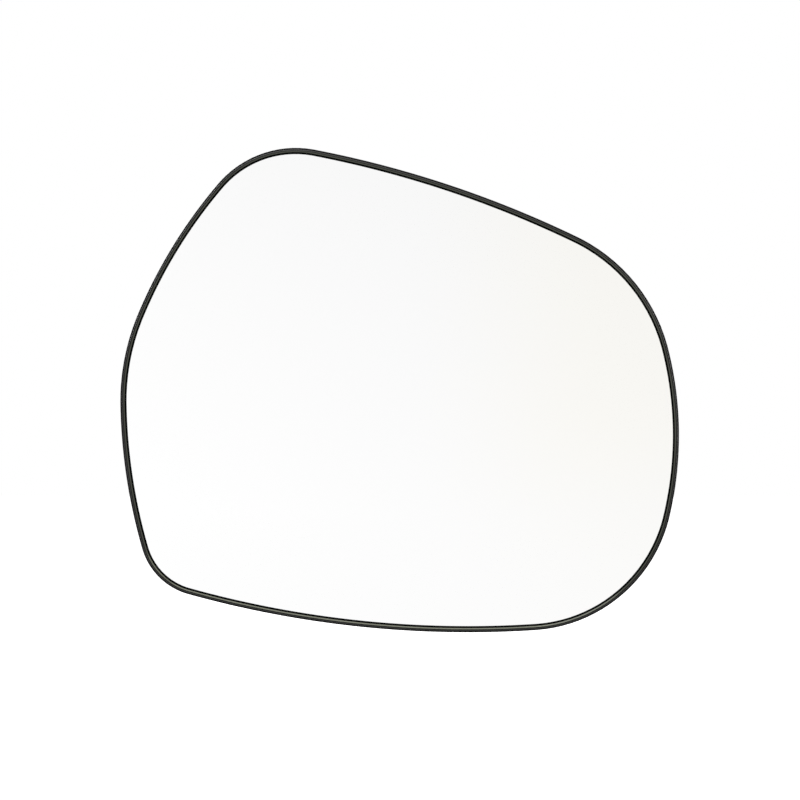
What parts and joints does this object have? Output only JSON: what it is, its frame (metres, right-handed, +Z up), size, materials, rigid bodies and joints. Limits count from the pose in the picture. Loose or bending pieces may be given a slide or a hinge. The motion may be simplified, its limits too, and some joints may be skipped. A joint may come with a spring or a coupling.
{
  "type": "car door mirror glass",
  "caption": "Clip-on door mirror glass: a domed, silvered glass bonded into a ribbed black backing plate with a clip ring, heater film and blade terminals.",
  "frame": {"origin": "middle of the actuator seat, on the end face of the hub behind the glass", "axes": "+Y out of the back along the pilot bore, towards the actuator; +X to the right of a viewer facing the mirror; +Z up as fitted"},
  "size_m": [0.1899, 0.0192, 0.1646],
  "materials": {
    "silvered_glass": "polished",
    "heater_film": "satin film with printed tracks",
    "foam_pad": "matt closed-cell foam",
    "black_plate": "fine moulded grain",
    "terminal_brass": "tinned and dull",
    "rivet_metal": "satin"
  },
  "bodies": {
    "root": {"mirror_glass": "silvered_glass", "heater_film": "heater_film", "foam_pad": "foam_pad", "backing_plate": "black_plate", "terminal_left": "terminal_brass", "terminal_right": "terminal_brass", "terminal_rivets": "rivet_metal"}
  },
  "joints": []
}
